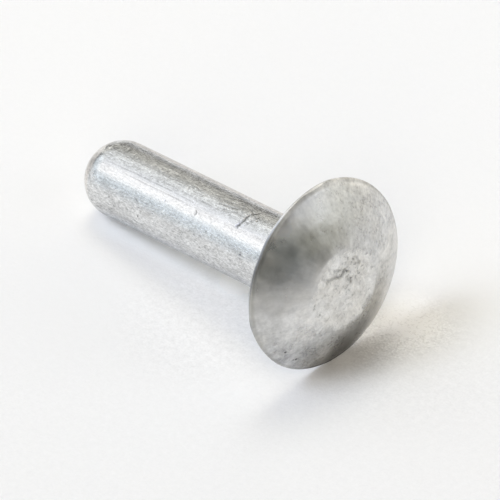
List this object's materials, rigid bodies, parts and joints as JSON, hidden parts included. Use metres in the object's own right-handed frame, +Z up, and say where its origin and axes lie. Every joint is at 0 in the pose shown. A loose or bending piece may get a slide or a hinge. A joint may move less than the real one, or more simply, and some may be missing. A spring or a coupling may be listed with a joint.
{
  "type": "brazier head rivet",
  "caption": "Solid aluminium rivet with a wide, shallow domed head, a flat-topped crown and a plain round shank with a rounded end.",
  "frame": {"origin": "bottom centre of the bounding box, on the surface that the rivet lies on", "axes": "+Z up; +X level, from the shank's end towards the head, under the rivet's axis, which rises 10.37 degrees towards the head; +Y sideways"},
  "size_m": [0.0214, 0.0118, 0.0117],
  "materials": {
    "rivet": "satin, drawn and lightly scratched"
  },
  "bodies": {
    "root": {"rivet": "rivet"}
  },
  "joints": []
}
